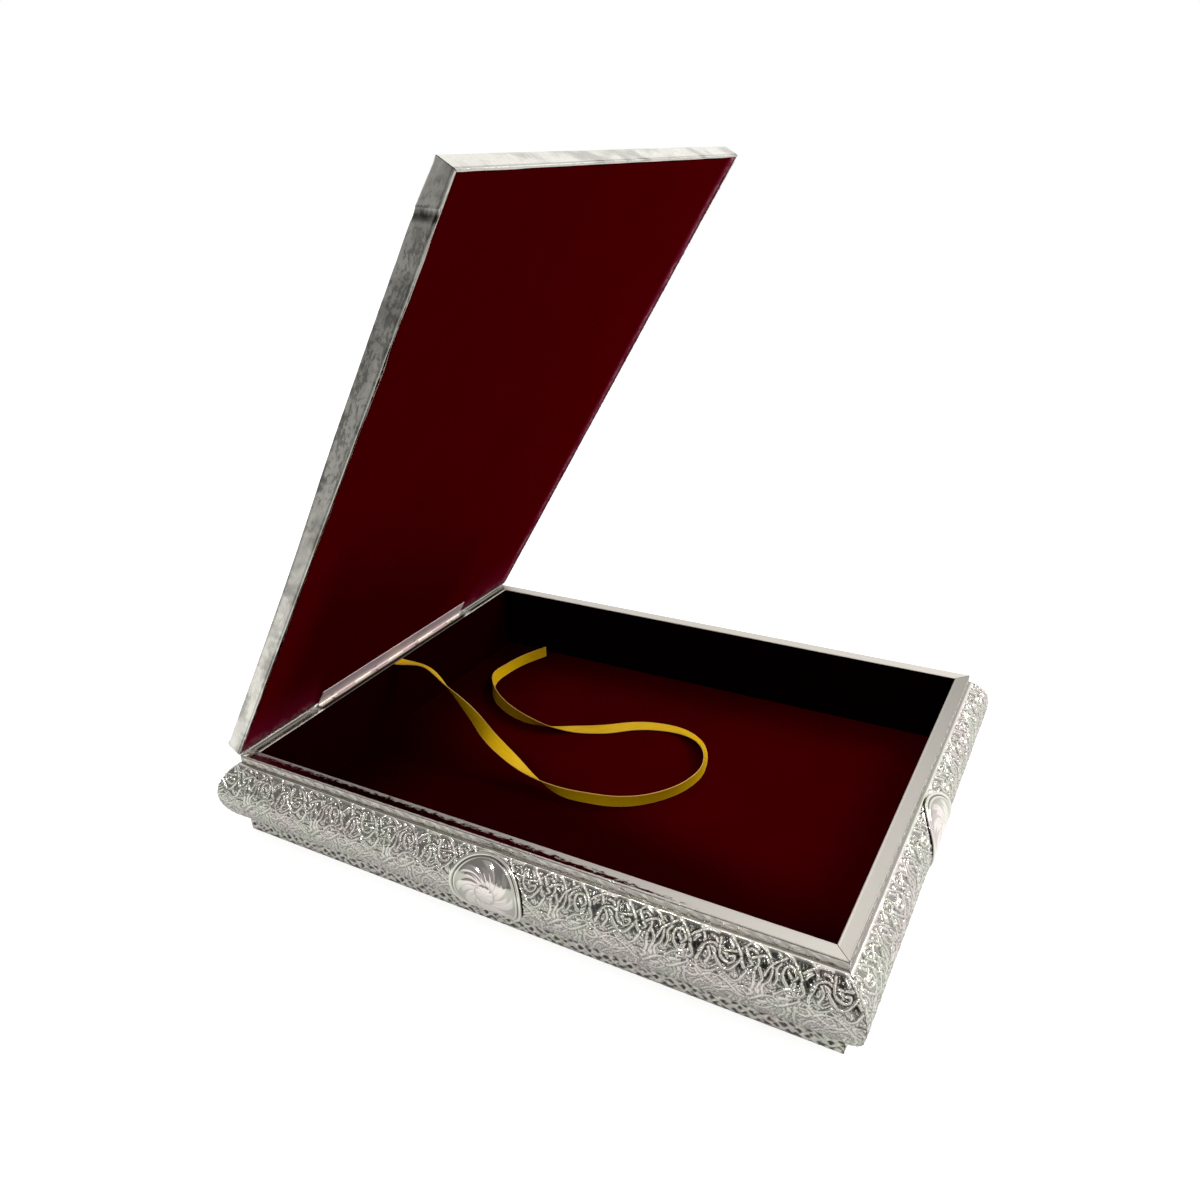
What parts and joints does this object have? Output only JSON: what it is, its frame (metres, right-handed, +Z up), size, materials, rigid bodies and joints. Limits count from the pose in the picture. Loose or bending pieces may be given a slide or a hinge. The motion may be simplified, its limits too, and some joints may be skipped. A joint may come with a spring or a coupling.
{
  "type": "quran storage box",
  "caption": "Shallow keepsake box for a holy book: bulging embossed silver walls over wood, velvet lining, flat lid on one hinge strip, loose marker ribbon inside.",
  "frame": {"origin": "on the table, under the middle of the tray", "axes": "+X towards the front, away from the hinge; +Y towards the right-hand end seen from the front; +Z up"},
  "size_m": [0.301, 0.234, 0.2848],
  "materials": {
    "silver_sheet": "embossed silver-plated sheet, satin on the relief and polished on the rim",
    "hinge_metal": "plated strip hinge, satin",
    "nail_steel": "plain wire nails and hinge pin",
    "wood": "unfinished, covered on every face",
    "velvet": "dark red velvet",
    "satin_ribbon": "golden satin",
    "base_paper": "dark felted paper"
  },
  "bodies": {
    "box": {"base_cover": "base_paper", "base_board": "wood", "base_nail_1": "nail_steel", "base_nail_2": "nail_steel", "base_nail_3": "nail_steel", "base_nail_4": "nail_steel", "base_nail_5": "nail_steel", "base_nail_6": "nail_steel", "base_nail_7": "nail_steel", "base_nail_8": "nail_steel", "floor_lining": "velvet", "left_wall": "wood", "left_moulding": "silver_sheet", "left_rim_strip": "silver_sheet", "left_plinth_strip": "silver_sheet", "left_medallion": "silver_sheet", "left_wall_lining": "velvet", "front_wall": "wood", "front_moulding": "silver_sheet", "front_rim_strip": "silver_sheet", "front_plinth_strip": "silver_sheet", "front_medallion": "silver_sheet", "front_wall_lining": "velvet", "right_wall": "wood", "right_moulding": "silver_sheet", "right_rim_strip": "silver_sheet", "right_plinth_strip": "silver_sheet", "right_medallion": "silver_sheet", "right_wall_lining": "velvet", "rear_wall": "wood", "rear_moulding": "silver_sheet", "rear_rim_strip": "silver_sheet", "rear_plinth_strip": "silver_sheet", "rear_medallion": "silver_sheet", "rear_wall_lining": "velvet", "ribbon_tail": "satin_ribbon", "ribbon": "satin_ribbon", "hinge_box_leaf": "hinge_metal", "hinge_pin": "nail_steel", "hinge_box_nail_1": "nail_steel", "hinge_box_nail_2": "nail_steel", "hinge_box_nail_3": "nail_steel", "hinge_box_nail_4": "nail_steel"},
    "lid": {"lid_board": "wood", "lid_left_edge_strip": "silver_sheet", "lid_front_edge_strip": "silver_sheet", "lid_right_edge_strip": "silver_sheet", "lid_rear_edge_strip": "silver_sheet", "lid_top_sheet": "silver_sheet", "lid_lining": "velvet", "lid_rosette": "silver_sheet", "hinge_lid_leaf": "hinge_metal", "hinge_lid_nail_1": "nail_steel", "hinge_lid_nail_2": "nail_steel", "hinge_lid_nail_3": "nail_steel", "hinge_lid_nail_4": "nail_steel"}
  },
  "joints": [
    {"name": "lid_hinge", "type": "hinge", "parent": "box", "child": "lid", "pos_m": [-0.138, 0, 0.04125], "axis": [0, -1, 0], "range_deg": [-57.85, 46]}
  ]
}
